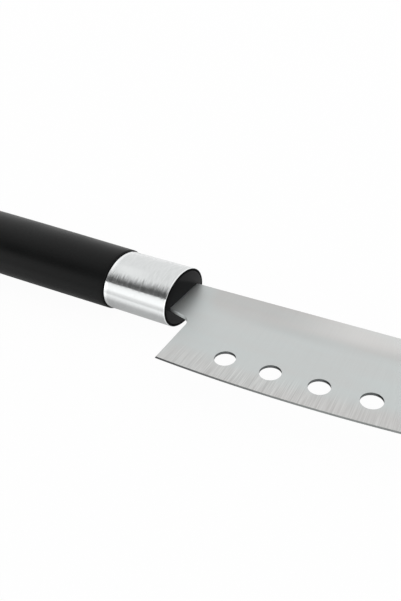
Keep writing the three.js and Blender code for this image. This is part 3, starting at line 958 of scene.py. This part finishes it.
def makeFloor():
    bm = bmesh.new()
    bmesh.ops.create_circle(bm, cap_ends=True, segments=stage["floorSides"], radius=stage["floorRadius"])
    floor = pieceFrom(bm, "floor")
    material, tree = emptyMaterial("white_paper_floor")
    path = addNode(tree, "ShaderNodeLightPath").outputs
    seen = addNode(tree, "ShaderNodeMath", {"operation": "MAXIMUM"},
                   {0: path["Is Camera Ray"], 1: path["Is Transmission Ray"]}).outputs[0]
    shown = addNode(tree, "ShaderNodeMath", {"operation": "MULTIPLY", 1: stage["floorWhite"]},
                    {0: seen}).outputs[0]
    share = addNode(tree, "ShaderNodeMath", {"operation": "MULTIPLY_ADD", 1: stage["floorGlossWhite"]},
                    {0: path["Is Glossy Ray"], 2: shown}).outputs[0]
    # painted shadow and painted stripes, only in what the metal mirrors of the floor
    place = addNode(tree, "ShaderNodeTexCoord").outputs["Object"]
    fromAxis = addNode(tree, "ShaderNodeMapping", {"Location": -handleAxis},
                       {"Vector": place}).outputs["Vector"]
    apart = addNode(tree, "ShaderNodeSeparateXYZ", None, {"Vector": fromAxis}).outputs
    away = addNode(tree, "ShaderNodeMath", {"operation": "ABSOLUTE"}, {0: apart["Y"]}).outputs[0]
    reach = addNode(tree, "ShaderNodeMath", {"operation": "DIVIDE", 1: stage["floorReach"] * mm},
                    {0: away}).outputs[0]
    stripes = addNode(tree, "ShaderNodeValToRGB", None, {"Fac": reach})
    points = stripes.color_ramp.elements
    while len(points) < len(stage["floorStripes"]):
        points.new(1)
    for point, (distance, tone) in zip(points, stage["floorStripes"]):
        point.position = distance / stage["floorReach"]
        point.color = (tone, tone, tone, 1)
    face = plugFace.x - handleAxis.x
    past = addNode(tree, "ShaderNodeMapRange", {
        "From Min": face, "From Max": face + stage["floorAheadBlend"] * mm},
        {"Value": apart["X"]}).outputs[0]
    mirrored = addNode(tree, "ShaderNodeMix", {"data_type": "FLOAT", 3: stage["floorAhead"]},
                       {0: past, 2: stripes.outputs["Color"]}).outputs[0]
    strength = addNode(tree, "ShaderNodeMix", {"data_type": "FLOAT", 2: 1},
                       {0: path["Is Glossy Ray"], 3: mirrored}).outputs[0]
    pale = stage["floorPaper"]
    paper = addNode(tree, "ShaderNodeBsdfDiffuse", {"Color": (pale, pale, pale, 1)}).outputs[0]
    glow = addNode(tree, "ShaderNodeEmission", {"Color": (1, 1, 1, 1)}, {"Strength": strength}).outputs[0]
    mixed = addNode(tree, "ShaderNodeMixShader", None, {0: share, 1: paper, 2: glow}).outputs[0]
    addNode(tree, "ShaderNodeOutputMaterial", None, {"Surface": mixed})
    floor.data.materials.append(material)


def makeSurround():
    world = bpy.data.worlds.new("white_surround")
    scene.world = world
    world.use_nodes = True
    tree = world.node_tree
    tree.nodes.clear()
    background = addNode(tree, "ShaderNodeBackground", {
        "Color": (1, 1, 1, 1), "Strength": stage["surround"]})
    addNode(tree, "ShaderNodeOutputWorld", None, {"Surface": background.outputs[0]})


# Long card bent round the handle's axis; gives back its tree, and how far round and ahead a place on it is
def stripPanel(name, low, high):
    radius = stage["panelRadius"]
    bm = bmesh.new()
    ends = [bm.verts.new((x, -radius, 0)) for x in (stage["panelLeft"], stage["panelRight"])]
    edge = bm.edges.new(ends)
    bmesh.ops.rotate(bm, matrix=Matrix.Rotation(-math.radians(low), 3, "X"), verts=bm.verts[:])
    bmesh.ops.spin(
        bm, geom=ends + [edge], cent=(0, 0, 0), axis=(1, 0, 0), dvec=(0, 0, 0),
        angle=-math.radians(high - low), steps=stage["panelSteps"], use_merge=False, use_duplicate=False)
    bmesh.ops.translate(bm, vec=handleAxis, verts=bm.verts[:])
    panel = pieceFrom(bm, name)
    panel.visible_camera = False
    material, tree = emptyMaterial(name + "_cloth")
    panel.data.materials.append(material)
    place = addNode(tree, "ShaderNodeTexCoord").outputs["Object"]
    fromAxis = addNode(tree, "ShaderNodeMapping", {"Location": -handleAxis},
                       {"Vector": place}).outputs["Vector"]
    apart = addNode(tree, "ShaderNodeSeparateXYZ", None, {"Vector": fromAxis}).outputs
    front = addNode(tree, "ShaderNodeMath", {"operation": "MULTIPLY", 1: -1}, {0: apart["Y"]}).outputs[0]
    turn = addNode(tree, "ShaderNodeMath", {"operation": "ARCTAN2"}, {0: apart["Z"], 1: front}).outputs[0]
    return tree, turn, apart["X"]


def makeSoftbox():  # brightest along its middle
    tree, turn = stripPanel("front_softbox", stage["softboxLow"], stage["softboxHigh"])[:2]
    middle = math.radians(stage["softboxMiddle"])
    offset = addNode(tree, "ShaderNodeMath", {"operation": "SUBTRACT", 1: middle}, {0: turn}).outputs[0]
    square = addNode(tree, "ShaderNodeMath", {"operation": "MULTIPLY"}, {0: offset, 1: offset}).outputs[0]
    strength = addNode(tree, "ShaderNodeMath", {
        "operation": "MULTIPLY_ADD", 1: -stage["softboxFall"], 2: stage["softboxStrength"]},
        {0: square}).outputs[0]
    glow = addNode(tree, "ShaderNodeEmission", {"Color": (1, 1, 1, 1)}, {"Strength": strength}).outputs[0]
    addNode(tree, "ShaderNodeOutputMaterial", None, {"Surface": glow})


def makeFlag():
    tree, turn, ahead = stripPanel("black_flag", stage["softboxHigh"], stage["flagHigh"])
    fadeEnd = addNode(tree, "ShaderNodeMapRange", {
        "From Min": stage["flagRear"], "From Max": stage["flagFront"],
        "To Min": math.radians(stage["flagRearFade"]), "To Max": math.radians(stage["flagFade"])},
        {"Value": ahead}).outputs[0]
    top = addNode(tree, "ShaderNodeMapRange", {
        "From Min": stage["flagTopStart"], "From Max": stage["flagTopEnd"],
        "To Min": stage["flagTopRear"], "To Max": stage["flagTopFront"]}, {"Value": ahead}).outputs[0]
    tone = addNode(tree, "ShaderNodeMapRange", {
        "From Min": math.radians(stage["flagDark"]), "To Min": stage["flagTone"]},
        {"Value": turn, "From Max": fadeEnd, "To Max": top}).outputs[0]
    glow = addNode(tree, "ShaderNodeEmission", {"Color": (1, 1, 1, 1)}, {"Strength": tone}).outputs[0]
    addNode(tree, "ShaderNodeOutputMaterial", None, {"Surface": glow})


# Camera at the photograph's angle: it looks down across the edge, from the tip's side

camera = {
    "aimAhead": 6.77,  # point in the middle of the view, from the plug's face
    "aimAbove": 0.99,
    "distance": 278.89,
    "azimuth": 33.89,
    "elevation": 34.07,
    "roll": -4.07,
    "lens": 43.777,
    "sensor": 36,
}


def makeCamera():
    target = knifePlace @ Vector((camera["aimAhead"], camera["aimAbove"], 0))
    azimuth = math.radians(camera["azimuth"])
    elevation = math.radians(camera["elevation"])
    level = math.cos(elevation)
    towards = Vector((math.sin(azimuth) * level, -math.cos(azimuth) * level, math.sin(elevation)))
    view = bpy.data.cameras.new("view")
    view.lens = camera["lens"]
    view.sensor_width = camera["sensor"]
    view.sensor_fit = "AUTO"
    eye = bpy.data.objects.new("view", view)
    eye.location = target + towards * camera["distance"] * mm
    look = (-towards).to_track_quat("-Z", "Y").to_matrix()
    eye.rotation_euler = (look @ Matrix.Rotation(math.radians(camera["roll"]), 3, "Z")).to_euler()
    scene.collection.objects.link(eye)
    scene.camera = eye


makeFloor()
makeSurround()
makeSoftbox()
makeFlag()
makeCamera()
scene.view_settings.view_transform = "Standard"
print("stage: floor, surround, softbox, flag and camera")
